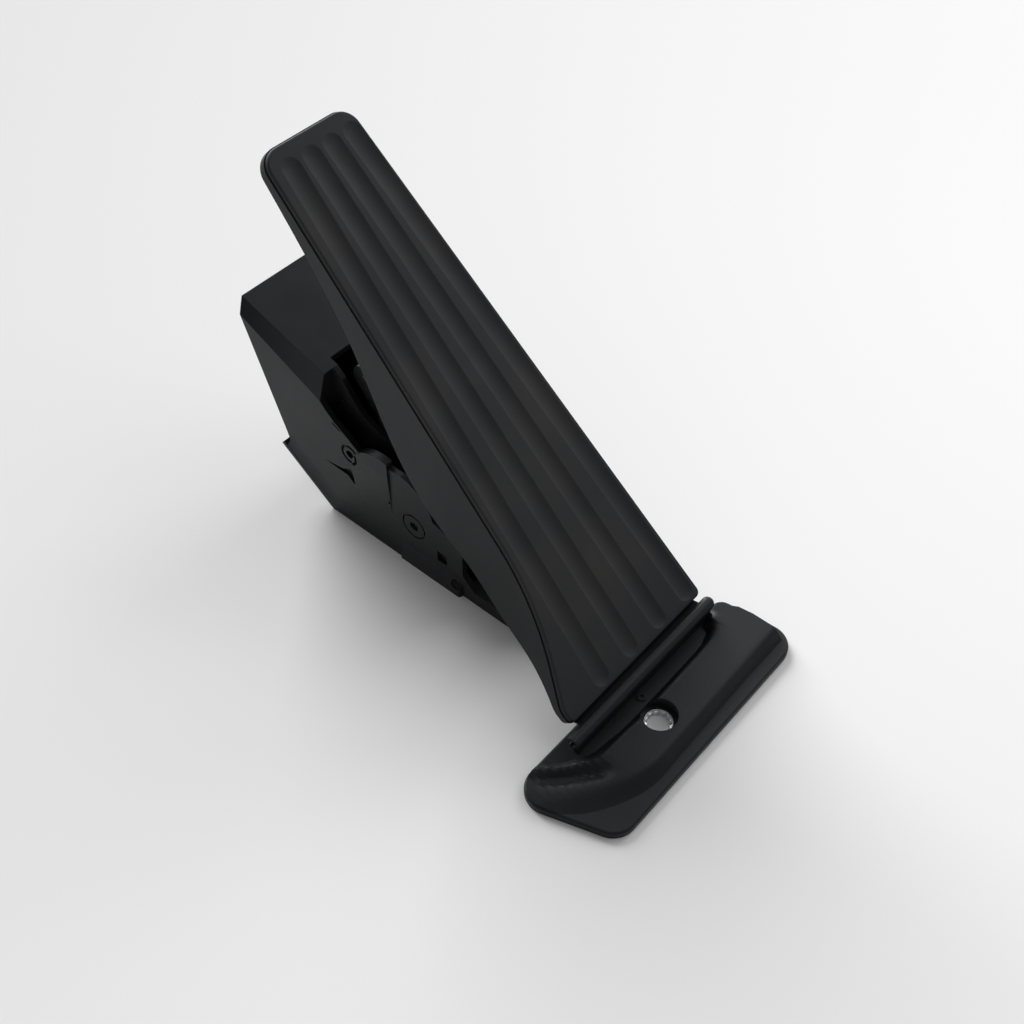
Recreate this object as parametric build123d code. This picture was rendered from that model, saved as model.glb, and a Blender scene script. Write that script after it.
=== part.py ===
from build123d import *
from math import atan2, cos, degrees, exp, radians, sin, tan
import os

# Electronic accelerator pedal module that stands on a car's floor.
# X runs across the car, Y from the foot plate towards the housing, Z up.
# The origin is on the axis of the foot bolt, at the level of the floor. Sizes are in millimetres.

os.makedirs("parts", exist_ok=True)

# Pedal hinge and travel
hinge_y = 15.0
hinge_z = 12.8
pedal_angle = 43.9
pedal_travel = 16.0

# Pedal outline, seen square to its tread
tread_drop = 1.1
plate_start = 4.0
plate_length = 229.2
plate_left_at_hinge = -29.0
plate_right_at_hinge = 52.9
plate_left_at_top = -4.0
plate_right_at_top = 39.1
knee_distance = 43.5
knee_left = -12.7
flare_distance = 7.0
knee_radius = 130.0
flare_radius = 9.0
top_corner_radius = 8.0
bottom_corner_radius = 3.0

# Pedal sections
pad_thickness = 2.2
pad_margin = 0.5
pad_edge_radius = 0.9
plate_thickness = 3.0
skirt_wall = 2.5
rib_wall = 1.6
rib_depth = 8.0
cross_rib_pitch = 26.0

# Tread grooves
groove_count = 4
groove_radius = 9.0
groove_depth = 1.0
groove_top_inset = 6.0
groove_bottom_inset = 2.8
groove_end = 3.5
groove_margin_left = 8.5
groove_margin_right = 5.0
groove_bottom_margin_left = 21.7
groove_bottom_margin_right = 7.0

# Hinge rail, bead and web
rail_radius = 2.7
bead_radius = 1.5
bead_clearance = 0.08
rail_left = -34.0
rail_right = 53.5
rail_cap = 1.6
rail_stem = 2.4
rail_slot_angle = 62.0
web_thickness = 0.9
web_flange_length = 10.0

# Foot plate
foot_front = -19.6
foot_rear_left = 22.8
foot_rear_right = 16.6
foot_left_rear = -62.0
foot_left_front = -48.0
foot_right_front = 67.6
foot_right_rear = 63.2
foot_step_x = -6.0
foot_corner_radius = 10.0
flange_height = 3.3
flange_edge = 1.0
plateau_height = 7.8
plateau_right = 62.4
plateau_edge = 0.8
valley_floor = 2.7
hollow_depth = 3.4
hollow_width = 3.6
relief_step = 1.8
relief_places = 24

# Lines of the foot's relief in plan or side view, each as places along X and a value
bed_front_line = [(-58.0, 14.5), (-47.5, 5.0), (-40.0, 0.2), (-33.5, -3.5), (-26.3, -6.9), (-17.0, -9.4)]
bed_front_line += [(-6.0, -9.9), (68.0, -9.3)]
bed_rear_line = [(-58.0, 32.0), (-45.5, 18.5), (-41.0, 13.0), (-35.0, 8.7), (-29.0, 5.8), (-17.6, 4.6)]
bed_rear_line += [(36.0, 4.6), (45.0, 6.2), (50.0, 11.0), (56.0, 24.0), (68.0, 40.0)]
bed_height_line = [(-64.0, 2.6), (-55.0, 4.4), (-46.0, 5.6), (-36.0, 6.9), (-24.0, 7.7)]
bed_height_line += [(-14.0, plateau_height), (68.0, plateau_height)]
front_slope_line = [(-64.0, 13.0), (-45.0, 13.0), (-30.0, 10.5), (-12.0, 7.0), (68.0, 6.6)]
rear_slope_line = [(-64.0, 9.0), (-45.0, 8.5), (-30.0, 6.5), (-12.0, 5.0), (68.0, 5.0)]
hollow_line = [(-56.0, 23.2), (-47.0, 15.0), (-43.0, 11.1), (-38.0, 7.2), (-34.0, 4.0), (-26.0, -0.3)]

# Foot bolt
bolt_bore = 9.0
bush_wall = 1.3
bush_chamfer = 0.3
bush_length = 3.0
counterbore_radius = 7.2
mould_mark_x = 4.4
mould_mark_y = 11.4
mould_mark_radius = 2.0

# Housing side view
wall = 2.5
floor_thickness = 3.0
front_y = 97.5
front_height = 29.3
bend_y = 172.8
heel_y = 198.6
heel_z = 20.1
rear_low_y = 196.0
rear_low_z = 26.2
roof_rear_y = 217.2
roof_rear_z = 91.0
roof_front_y = 172.5
roof_front_z = 75.3

# Housing across
wall_left = -2.0
inner_wall_left = 7.0
cover_x = 34.0
cover_thickness = 2.5
lip_reach = 1.0
lip_height = 1.3
lip_overrun = 3.0
flare_height = 9.5
flare_waist = 6.0
lug_front = 98.0
lug_rear = 131.0
lug_reach = 1.8
lug_height = 9.5
lug_face_height = 4.5
panel_rise = 0.9
mouth_rear_y = 176.5
neck_rib_height = 7.0
bevel_width = 4.0
bevel_drop_rear = 5.1
bevel_drop_front = 11.6

# Lever, link and their pivots
mid_x = 21.0
lever_y = 123.8
lever_z = 23.8
lever_reach = 60.0
lever_rest_angle = 50.0
lever_hub_radius = 10.0
lever_tip_radius = 6.6
lever_width = 14.0
link_distance = 110.0
link_depth = 14.0
link_width = 7.0
link_eye_radius = 5.4
link_bar_height = 5.6
link_swing_room = 31.6
fork_slot_reach = 28.0
fork_gap = 7.7
pin_radius = 2.0
ear_wall = 3.0
ear_radius = 5.4
running_clearance = 0.06
open_pivot_clearance = 0.45
seat_gap = 0.3
shaft_radius = 4.0
bush_outer_radius = 5.2
bush_collar_radius = 7.0
bush_collar = 1.0
pivot_ring_radius = 6.3
pivot_eye_radius = 2.2
tail_angle = 200.0
tail_reach = 18.0
tail_radius = 3.6
tail_root_radius = 6.0

# Springs
spring_y = lever_y + 25.7
spring_bottom_z = 5.0
spring_height = 31.3
spring_spigot = 4.0
outer_coil_radius = 8.4
outer_wire = 1.8
outer_turns = 6.0
inner_coil_radius = 5.0
inner_wire = 1.2
inner_turns = 8.0
spring_cap_thickness = 1.5

# Sensor, its chamber and the connector
chamber_front = 112.0
chamber_rear = 183.0
chamber_bottom = 9.5
chamber_top = 35.3
chamber_depth = 4.4
chamber_wall = 1.6
lid_thickness = 1.4
board_thickness = 1.6
board_clearance = 0.3
chip_thickness = 0.6
magnet_radius = 6.0
magnet_thickness = 1.0
connector_y = 166.0
connector_z = 22.8
connector_width = 25.0
connector_height = 15.0
connector_reach = 15.0
connector_wall = 1.6
pin_count = 6
pin_pitch = 3.2
pin_blade = 0.64
screw_head_radius = 3.0
screw_head_height = 1.8
screw_shank_radius = 1.6
screw_clearance = 0.2
screw_length = 9.0

# Stop buffer under the plate, which meets the roof at full travel
buffer_distance = 190.0
buffer_radius = 5.0
buffer_plug = 2.6
buffer_seat = 3.0

# Worked-out places
cover_outer_x = cover_x + cover_thickness
chamber_outer_x = cover_outer_x + chamber_depth
board_x = chamber_outer_x - board_thickness
magnet_x = cover_outer_x + seat_gap
plate_top_v = -tread_drop - pad_thickness
plate_under_v = plate_top_v - plate_thickness
plate_end = plate_start + plate_length
plate_half = (plate_left_at_hinge + plate_right_at_hinge) / 2
roof_slope = degrees(atan2(roof_rear_z - roof_front_z, roof_rear_y - roof_front_y))
lever_tip_y = lever_y + lever_reach * cos(radians(lever_rest_angle))
lever_tip_z = lever_z + lever_reach * sin(radians(lever_rest_angle))
pedal_frame = Plane(
    origin=(0, hinge_y, hinge_z),
    x_dir=(1, 0, 0),
    z_dir=(0, -sin(radians(pedal_angle)), cos(radians(pedal_angle))),
)


def pedal_point(u, v, angle=pedal_angle):
    """A point of the pedal, u along its plate and v square to it, as (y, z) at a pedal angle."""
    a = radians(angle)
    return (hinge_y + u * cos(a) - v * sin(a), hinge_z + u * sin(a) + v * cos(a))


link_top_y, link_top_z = pedal_point(link_distance, -link_depth)


def on_pedal(shape):
    """Moves a shape from the pedal's own flat frame to its rest place."""
    return pedal_frame.location * shape


def side_face(points):
    """A closed side-view outline through (y, z) points."""
    return make_face(Polyline(*points, close=True))


def side_prism(face, x_start, x_end):
    """A side-view face pushed out along X."""
    return extrude(Plane.YZ.offset(x_start) * face, amount=x_end - x_start)


def cross_cylinder(y, z, radius, x_start, x_end):
    """A cylinder across the part, along X."""
    across = Cylinder(radius, x_end - x_start, align=(Align.CENTER, Align.CENTER, Align.MIN))
    return Pos(x_start, y, z) * Rot(0, 90, 0) * across


def upright_cylinder(x, y, z, radius, height):
    """A cylinder that stands on height z."""
    return Pos(x, y, z) * Cylinder(radius, height, align=(Align.CENTER, Align.CENTER, Align.MIN))


def block(x_start, x_end, y_start, y_end, z_start, z_end):
    """A box between two corners."""
    size = (x_end - x_start, y_end - y_start, z_end - z_start)
    return Pos(x_start, y_start, z_start) * Box(*size, align=(Align.MIN, Align.MIN, Align.MIN))


def round_corner(face, point, radius):
    """Rounds the corner of a flat face that lies nearest to a point."""
    corner = face.vertices().sort_by_distance(Vector(*point))[0]
    return fillet(corner, radius)


# Pedal plate and tread


def pedal_outline(inset=0.0):
    """The pedal seen square to its tread: straight right edge, left edge that flares out to the hinge."""
    top_left = (plate_left_at_top, plate_end)
    knee = (knee_left, plate_start + knee_distance)
    flare = (plate_left_at_hinge, plate_start + flare_distance)
    bottom_left = (plate_left_at_hinge, plate_start)
    bottom_right = (plate_right_at_hinge, plate_start)
    top_right = (plate_right_at_top, plate_end)
    face = make_face(Polyline(top_left, knee, flare, bottom_left, bottom_right, top_right, close=True))
    face = round_corner(face, knee, knee_radius)
    face = round_corner(face, flare, flare_radius)
    face = round_corner(face, top_left, top_corner_radius)
    face = round_corner(face, top_right, top_corner_radius)
    face = round_corner(face, bottom_left, bottom_corner_radius)
    face = round_corner(face, bottom_right, bottom_corner_radius)
    if inset:
        face = offset(face, amount=-inset)
    return face


def skirt_profile():
    """Side view of the plate with its skirt, shallow at both ends and deep over the lever."""
    under = plate_under_v
    lower_edge = Spline(
        (plate_end + 1, under),
        (plate_start + 193, -9.9),
        (plate_start + 160, -16.0),
        (plate_start + 137, -23.6),
        (plate_start + 112, -31.5),
        (plate_start + 88, -33.4),
        (plate_start + 66, -29.6),
        (plate_start + 42, -24.0),
        (plate_start + 25, -14.2),
        (plate_start + 10, -7.6),
        (plate_start - 1, under),
    )
    ends = Polyline(lower_edge @ 1, (plate_start - 1, 0), (plate_end + 1, 0), lower_edge @ 0)
    return make_face([lower_edge, *ends.edges()])


def groove(index):
    """One shallow groove with round ends, the space that is taken from the pad."""
    share = index / (groove_count - 1)
    top_left = plate_left_at_top + groove_margin_left
    top_right = plate_right_at_top - groove_margin_right
    bottom_left = plate_left_at_hinge + groove_bottom_margin_left
    bottom_right = plate_right_at_hinge - groove_bottom_margin_right
    start_x = bottom_left + share * (bottom_right - bottom_left)
    end_x = top_left + share * (top_right - top_left)
    start = Vector(start_x, plate_start + groove_bottom_inset + groove_end)
    end = Vector(end_x, plate_end - groove_top_inset - groove_end)
    run = end - start
    turn = degrees(atan2(run.Y, run.X)) - 90
    height = -tread_drop + groove_radius - groove_depth
    bar = Cylinder(groove_radius, run.length, align=(Align.CENTER, Align.CENTER, Align.MIN))
    lying = Rot(-90, 0, 0) * bar
    tool = lying + Sphere(groove_radius) + Pos(0, run.length, 0) * Sphere(groove_radius)
    return Pos(start.X, start.Y, height) * Rot(0, 0, turn) * tool


def make_tread_pad():
    """Soft tread moulded over the plate, with four shallow grooves."""
    pad = Pos(0, 0, plate_top_v) * extrude(pedal_outline(pad_margin), amount=pad_thickness)
    pad = fillet(pad.faces().sort_by(Axis.Z)[-1].edges(), pad_edge_radius)
    for index in range(groove_count):
        pad -= groove(index)
    return on_pedal(pad)


def plate_ribs(inside):
    """Ribs under the plate, lengthwise and crosswise, kept inside the skirt."""
    depth = plate_thickness + rib_depth
    ribs = []
    for share in (0.25, 0.5, 0.75):
        low = plate_left_at_hinge + share * (plate_right_at_hinge - plate_left_at_hinge)
        high = plate_left_at_top + share * (plate_right_at_top - plate_left_at_top)
        turn = degrees(atan2(plate_length, high - low)) - 90
        bar = Box(rib_wall, plate_length + 20, depth, align=(Align.CENTER, Align.MIN, Align.MAX))
        ribs.append(Pos(low, plate_start - 5, plate_top_v) * Rot(0, 0, turn) * bar)
    count = int((plate_length - cross_rib_pitch) / cross_rib_pitch)
    width = plate_right_at_hinge - plate_left_at_hinge
    for index in range(count):
        along = plate_start + cross_rib_pitch * (index + 1)
        bar = Box(width, rib_wall, depth, align=(Align.CENTER, Align.CENTER, Align.MAX))
        ribs.append(Pos(plate_half, along, plate_top_v) * bar)
    return [rib & inside for rib in ribs]


def link_ear(x_start, x_end):
    """One ear under the plate that holds the upper pin of the link."""
    eye = Pos(link_distance, -link_depth) * Circle(ear_radius)
    root = Pos(link_distance, plate_under_v + 0.5) * Rectangle(4 * ear_radius, 1)
    outline = make_hull(eye.edges() + root.edges())
    ear = side_prism(outline, x_start, x_end)
    return ear - cross_cylinder(link_distance, -link_depth, pin_radius, x_start, x_end)


def make_pedal_plate():
    """Stiff carrier of the pedal: plate, skirt, ribs, ears for the link and a seat for the stop buffer."""
    deep = plate_length / 4
    left = plate_left_at_hinge - skirt_wall
    right = plate_right_at_hinge + skirt_wall
    side_view = side_prism(skirt_profile(), left, right)
    body = Pos(0, 0, plate_top_v) * extrude(pedal_outline(), amount=-deep)
    body = body & side_view
    body -= Pos(0, 0, plate_under_v) * extrude(pedal_outline(skirt_wall), amount=-deep)
    rib_space = extrude(pedal_outline(skirt_wall / 2), amount=-deep) & side_view
    clear = ear_wall + fork_gap / 2 + 1
    link_space = block(
        mid_x - clear, mid_x + clear,
        link_distance - 3 * ear_radius, link_distance + 45,
        plate_under_v - deep, plate_under_v,
    )
    for rib in plate_ribs(rib_space):
        body += rib - link_space
    half_gap = fork_gap / 2
    body += link_ear(mid_x - half_gap - ear_wall, mid_x - half_gap)
    body += link_ear(mid_x + half_gap, mid_x + half_gap + ear_wall)
    hanging = (Align.CENTER, Align.CENTER, Align.MAX)
    seat = Cylinder(buffer_radius + 2, buffer_seat, align=hanging)
    around = Cylinder(buffer_radius + 1, rib_depth, align=hanging)
    socket_depth = buffer_seat + buffer_plug
    socket = Cylinder(buffer_radius - 2, socket_depth, align=(Align.CENTER, Align.CENTER, Align.MIN))
    body += Pos(mid_x, buffer_distance, plate_under_v) * seat
    body -= Pos(mid_x, buffer_distance, plate_under_v - buffer_seat) * (socket + around)
    body -= hinge_strip_shape()
    return on_pedal(body)


def buffer_length():
    """Length from the buffer's seat to the roof at full travel, less the gap."""
    down = pedal_angle - pedal_travel
    y, z = pedal_point(buffer_distance, plate_under_v - buffer_seat, down)
    roof_z = roof_rear_z - (roof_rear_y - y) * tan(radians(roof_slope))
    lean = radians(down - roof_slope)
    return (z - roof_z) * cos(radians(roof_slope)) / cos(lean) - seat_gap - buffer_radius * tan(lean)


def make_end_stop_buffer():
    """Rubber buffer with a plug that is pushed into the plate."""
    length = buffer_length()
    foot = Cylinder(buffer_radius, length, align=(Align.CENTER, Align.CENTER, Align.MAX))
    foot = fillet(foot.edges().sort_by(Axis.Z)[0], 1.5)
    foot -= Pos(0, 0, -length * 0.45) * Torus(buffer_radius + 0.6, 1.3)
    plug_length = buffer_seat + buffer_plug
    plug = Cylinder(buffer_radius - 2, plug_length, align=(Align.CENTER, Align.CENTER, Align.MIN))
    return on_pedal(Pos(mid_x, buffer_distance, plate_under_v - buffer_seat) * (foot + plug))


# Hinge strip and its rail


def web_flange():
    """The part of the hinge strip that lies in a rebate under the plate."""
    left = plate_left_at_hinge + skirt_wall + 1
    right = plate_right_at_hinge - skirt_wall - 1
    end = plate_start + web_flange_length
    return block(left, right, plate_start, end, plate_under_v, plate_under_v + web_thickness)


def hinge_strip_shape():
    """The hinge strip in the pedal's own flat frame."""
    left = plate_left_at_hinge + skirt_wall + 1
    right = plate_right_at_hinge - skirt_wall - 1
    bead = cross_cylinder(0, 0, bead_radius, left, right)
    reach_v = plate_under_v + 0.5
    turn = degrees(atan2(reach_v, plate_start))
    length = (plate_start**2 + reach_v**2) ** 0.5
    web = Box(right - left, length, web_thickness, align=(Align.MIN, Align.MIN, Align.CENTER))
    strip = bead + Pos(left, 0, 0) * Rot(turn, 0, 0) * web
    return strip + cross_cylinder(plate_start, reach_v, 0.5, left, right) + web_flange()


def make_hinge_strip():
    """Thin web with a round bead along its free edge, which turns in the rail."""
    return on_pedal(hinge_strip_shape())


def rail_slot_centre():
    """Angle of the middle of the rail's slot, between the web's rest and pressed directions."""
    web_turn = degrees(atan2(plate_under_v + 0.5, plate_start))
    return pedal_angle + web_turn - pedal_travel / 2


def hinge_rail():
    """Round rail along the front of the pedal, slotted towards it, closed at its right end."""
    rail = cross_cylinder(hinge_y, hinge_z, rail_radius, rail_left, rail_right)
    rail = fillet(rail.edges().sort_by(Axis.X)[-1], rail_radius - 0.6)
    low = flange_height - 1
    high = hinge_z - rail_radius / 2
    half_stem = rail_stem / 2
    rail += block(rail_left + 3, rail_right - 1, hinge_y - half_stem, hinge_y + half_stem, low, high)
    bore = bead_radius + bead_clearance
    rail -= cross_cylinder(hinge_y, hinge_z, bore, rail_left, rail_right - rail_cap)
    half = radians(rail_slot_angle / 2)
    reach = rail_radius * 1.6
    wedge_end = reach * cos(half)
    wedge_half = reach * sin(half)
    wedge = make_face(Polyline((0, 0), (wedge_end, wedge_half), (wedge_end, -wedge_half), close=True))
    slot = side_prism(Rot(0, 0, rail_slot_centre()) * wedge, rail_left, rail_right - rail_cap)
    return rail - Pos(0, hinge_y, hinge_z) * slot


# Foot plate


def foot_outline():
    """Plan of the foot plate: wide to the left, tapered at its left end."""
    corners = [
        (foot_left_rear, foot_rear_left),
        (foot_left_front, foot_front),
        (foot_right_front, foot_front),
        (foot_right_rear, foot_rear_right),
        (foot_step_x, foot_rear_right),
        (foot_step_x - 6, foot_rear_left),
    ]
    face = make_face(Polyline(*corners, close=True))
    for corner in corners[:3]:
        face = round_corner(face, corner, foot_corner_radius)
    return round_corner(face, corners[3], 5.0)


def ease(share):
    """Smooth step from 0 to 1."""
    t = min(max(share, 0), 1)
    return t * t * (3 - 2 * t)


def line_value(line, x):
    """Value at x of a smooth curve through the points of a relief line."""
    spans = list(zip(line, line[1:]))
    slopes = [(end[1] - start[1]) / (end[0] - start[0]) for start, end in spans]
    tangents = [slopes[0]] + [(low + high) / 2 for low, high in zip(slopes, slopes[1:])] + [slopes[-1]]
    index = 0
    while index < len(spans) - 1 and x > spans[index][1][0]:
        index += 1
    start, end = spans[index]
    width = end[0] - start[0]
    t = (x - start[0]) / width
    blend = start[1] + (end[1] - start[1]) * t * t * (3 - 2 * t)
    lead = tangents[index] * width * t * (1 - t) ** 2
    return blend + lead - tangents[index + 1] * width * t * t * (1 - t)


def relief_height(x, y):
    """Height of the foot's sculpted top: bed round the bolt and its arm with a hollow."""
    front_slope = line_value(front_slope_line, x)
    rear_slope = line_value(rear_slope_line, x)
    above_front = ease((y - line_value(bed_front_line, x) + front_slope) / front_slope)
    above_rear = ease((line_value(bed_rear_line, x) + rear_slope - y) / rear_slope)
    height = valley_floor + (line_value(bed_height_line, x) - valley_floor) * above_front * above_rear
    along_hollow = ease((-27.0 - x) / 9.0) * ease((x + 56.0) / 12.0)
    across_hollow = (y - line_value(hollow_line, x)) / hollow_width
    return height - hollow_depth * along_hollow * exp(-across_hollow**2)


def relief_limit():
    """Plan that the relief stays inside: the foot's outline, cut off straight at the right end of the bed."""
    corners = [
        (foot_left_front - 30, foot_front - 5),
        (plateau_right, foot_front - 5),
        (plateau_right, 0),
        (plateau_right - 0.9, 6.4),
        (plateau_right - 5.3, foot_rear_right - 2.8),
        (foot_step_x, foot_rear_right - 2.8),
        (foot_step_x, foot_rear_left + 5),
        (foot_left_front - 30, foot_rear_left + 5),
    ]
    limit = make_face(Polyline(*corners, close=True))
    return limit & offset(foot_outline(), amount=-plateau_edge)


def relief_section(x):
    """Section through the relief at x, closed well under the foot's flange."""
    start = foot_front - 4
    rows = round((foot_rear_left + 4 - start) / relief_step)
    places = [start + row * relief_step for row in range(rows + 1)]
    tops = [(x, y, relief_height(x, y)) for y in places]
    low = flange_height - 6
    sides = Polyline(tops[-1], (x, places[-1], low), (x, places[0], low), tops[0])
    return make_face([Spline(*tops), *sides.edges()])


def sculpted_bed():
    """Everything on the foot that rises over its flange, under one smooth relief."""
    left = foot_left_rear - 4
    pitch = (foot_step_x - left) / relief_places
    places = [left + index * pitch for index in range(relief_places + 1)]
    places += [34.0, 40.0, 45.0, 50.0, 55.0, 60.0, 66.0]
    under = loft([relief_section(x) for x in places], ruled=True)
    reach = plateau_height + 2
    return under & extrude(Plane.XY.offset(flange_height - 1) * relief_limit(), amount=reach)


def make_foot():
    """Foot plate with its plateau, the bolt seat and the hinge rail."""
    plate = extrude(foot_outline(), amount=flange_height)
    plate = fillet(plate.faces().sort_by(Axis.Z)[-1].edges(), flange_edge)
    foot = plate + sculpted_bed()
    foot += hinge_rail()
    mark = upright_cylinder(mould_mark_x, mould_mark_y, flange_height - 1, mould_mark_radius, 1.5)
    dimple = upright_cylinder(mould_mark_x, mould_mark_y, flange_height, mould_mark_radius * 0.4, 1)
    return foot + mark - dimple


# Base moulding


def box_outline():
    """Side view of the housing box."""
    return side_face(
        [
            (front_y, 0),
            (bend_y, 0),
            (heel_y, heel_z),
            (rear_low_y, rear_low_z),
            (roof_rear_y, roof_rear_z),
            (roof_front_y, roof_front_z),
            (168.0, 71.2),
            (163.1, 63.9),
            (157.9, 57.6),
            (147.4, 52.9),
            (139.8, 49.9),
            (131.0, 46.6),
            (116.0, 39.8),
            (front_y, front_height),
        ]
    )


def opening_outline():
    """Side view of the mouth through which the lever swings."""
    return side_face(
        [
            (front_y + wall + 1, front_height - 8),
            (front_y + wall, front_height + 8),
            (roof_front_y - 20, roof_front_z + 8),
            (mouth_rear_y, roof_front_z + 8),
            (mouth_rear_y, roof_front_z - 6),
            (150.0, 38.3),
        ]
    )


def rear_half(face):
    """The part of a side view behind the front edge of the roof."""
    return face & (Pos(roof_front_y + 50, 50) * Rectangle(100, 200))


def bevel_section(y, inset):
    """Section at y of what lies over the slanting face between the roof and the left wall."""
    share = (y - roof_front_y) / (roof_rear_y - roof_front_y)
    roof_z = roof_front_z + share * (roof_rear_z - roof_front_z)
    drop = bevel_drop_front + share * (bevel_drop_rear - bevel_drop_front)
    slope = drop / bevel_width
    left = wall_left - 1
    right = wall_left + inset + bevel_width + 1
    low = roof_z - drop - slope * (1 + inset)
    top = roof_rear_z + 10
    corners = [(left, y, low), (right, y, roof_z + slope), (right, y, top), (left, y, top)]
    return make_face(Polyline(*corners, close=True))


def bevel_cut(inset=0.0):
    """What is taken off over the slanting face, which twists a little from its front end to its rear end."""
    ends = [bevel_section(roof_front_y - 12, inset), bevel_section(roof_rear_y + 4, inset)]
    return loft(ends, ruled=True)


def left_wall_outline():
    """Side view of the outer left wall: low in front, arched over the lever's pivot, then up to the roof."""
    arch = ThreePointArc((113.0, 34.3), (118.4, 44.5), (129.5, 49.7))
    rest = Polyline(
        (129.5, 49.7),
        (140.0, 49.3),
        (151.6, 46.6),
        (158.1, 51.4),
        (165.5, 56.4),
        (170.1, 60.6),
        (roof_front_y, roof_front_z - bevel_drop_front),
        (roof_front_y, roof_front_z),
        (roof_rear_y, roof_rear_z),
        (rear_low_y, rear_low_z),
        (heel_y, heel_z),
        (bend_y, 0),
        (foot_rear_right, 0),
        (foot_rear_right, neck_rib_height),
        (front_y - 6, neck_rib_height),
        (front_y, neck_rib_height + 6),
        (front_y, front_height),
        (113.0, 34.3),
    )
    return make_face([arch, *rest.edges()])


def lip_outline():
    """Side view of the lip along the bottom and heel of the left wall, which ends past the heel as a hook."""
    rise = atan2(heel_z, heel_y - bend_y)
    end = Vector(heel_y + lip_overrun * cos(rise), heel_z + lip_overrun * sin(rise))
    inward = Vector(-sin(rise), cos(rise)) * lip_height
    inner_bend = (bend_y - lip_height * tan(rise / 2), lip_height)
    inner_end = end + inward * 1.6
    return side_face(
        [
            (lug_rear, 0),
            (bend_y, 0),
            (end.X, end.Y),
            (inner_end.X, inner_end.Y),
            inner_bend,
            (lug_rear, lip_height),
        ]
    )


def flare():
    """Outward flare of the left wall over the lip, along the bottom and up the heel."""
    lip_x = wall_left - lip_reach
    curve = Spline((wall_left, flare_height), (wall_left - 0.2 * lip_reach, flare_waist), (lip_x, lip_height))
    rest = Polyline(
        (lip_x, lip_height),
        (lip_x, lip_height / 2),
        (lip_x + lip_height / 2, 0),
        (wall_left + 1, 0),
        (wall_left + 1, flare_height),
        (wall_left, flare_height),
    )
    section = make_face([curve, *rest.edges()])
    rise = atan2(heel_z, heel_y - bend_y)
    overrun = flare_height
    heel_run = ((heel_y - bend_y) ** 2 + heel_z**2) ** 0.5 + overrun
    level = extrude(Plane.XZ.offset(-lug_rear) * section, amount=-(bend_y - lug_rear + overrun))
    sloped = Pos(0, bend_y, 0) * Rot(degrees(rise), 0, 0) * Pos(0, -overrun, 0)
    sloped = sloped * extrude(Plane.XZ * section, amount=-(heel_run + overrun))
    mitre = side_face(
        [
            (bend_y, -20),
            (bend_y, 0),
            (bend_y - 40 * sin(rise / 2), 40 * cos(rise / 2)),
            (lug_rear - 5, 40),
            (lug_rear - 5, -20),
        ]
    )
    front_side = side_prism(mitre, wall_left - 5, wall_left + 3)
    band = (level & front_side) + (sloped - front_side)
    return band & side_prism(left_wall_outline(), wall_left - 5, wall_left + 1)


def wall_lug():
    """Thick foot of the left wall beside the pivot, whose top runs into the wall."""
    section = make_face(
        Polyline(
            (wall_left - lug_reach, 0),
            (wall_left - lug_reach, lug_face_height),
            (wall_left, lug_height),
            (wall_left + wall, lug_height),
            (wall_left + wall, 0),
            close=True,
        )
    )
    lug = extrude(Plane.XZ.offset(-lug_front) * section, amount=-(lug_rear - lug_front))
    lug = fillet(lug.faces().sort_by(Axis.Y)[0].edges().sort_by(Axis.X)[:2], 1.4)
    dimple = Pos(wall_left - lug_reach, lug_front + 2.5, 6.5) * Sphere(2.6)
    return lug - dimple


def raised_panel():
    """Round-topped panel on the left wall over the pivot, which fades into the wall towards its foot."""
    disc = Pos(140.5, 36.3) * Circle(16.6)
    skirt = side_face([(126.0, 20.3), (157.0, 20.3), (157.0, 36.3), (126.0, 36.3)])
    keep = Pos(147.0, 34.3) * Rectangle(22.0, 40.0)
    panel = side_prism((disc + skirt) & keep, wall_left - panel_rise, wall_left + wall)
    fade = make_face(
        Polyline(
            (wall_left, 22.0),
            (wall_left - panel_rise, 44.0),
            (wall_left - panel_rise, 60.0),
            (wall_left + wall, 60.0),
            (wall_left + wall, 22.0),
            close=True,
        )
    )
    return panel & extrude(Plane.XZ * fade, amount=-lever_y * 2)


def left_wall_cuts():
    """Small openings in the left wall: eye with its ring, slit, V groove, pin hole and snap window."""
    eye = cross_cylinder(158.2, 42.6, 2.0, wall_left - 3, wall_left + wall)
    ring = cross_cylinder(158.2, 42.6, 4.9, wall_left - 3, wall_left + 0.9)
    ring -= cross_cylinder(158.2, 42.6, 3.6, wall_left - 3, wall_left + 0.9)
    slit_face = Pos(164.6, 54.2) * Rot(0, 0, 28) * SlotOverall(5.0, 0.9)
    slit = side_prism(slit_face, wall_left - 3, wall_left + wall)
    corners = [(174.8, 28.8), (163.8, 30.6), (158.6, 33.6), (156.6, 25.8), (158.0, 25.6), (161.0, 28.4)]
    vee = side_prism(side_face(corners), wall_left - 2, wall_left + 1.4)
    pin_hole = cross_cylinder(136.9, 28.9, 0.7, wall_left - 2, wall_left + 1.5)
    window = block(wall_left - 2, wall_left + 1.7, 106.2, 111.3, 12.6, 18.2)
    return eye + ring + slit + vee + pin_hole + window


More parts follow.
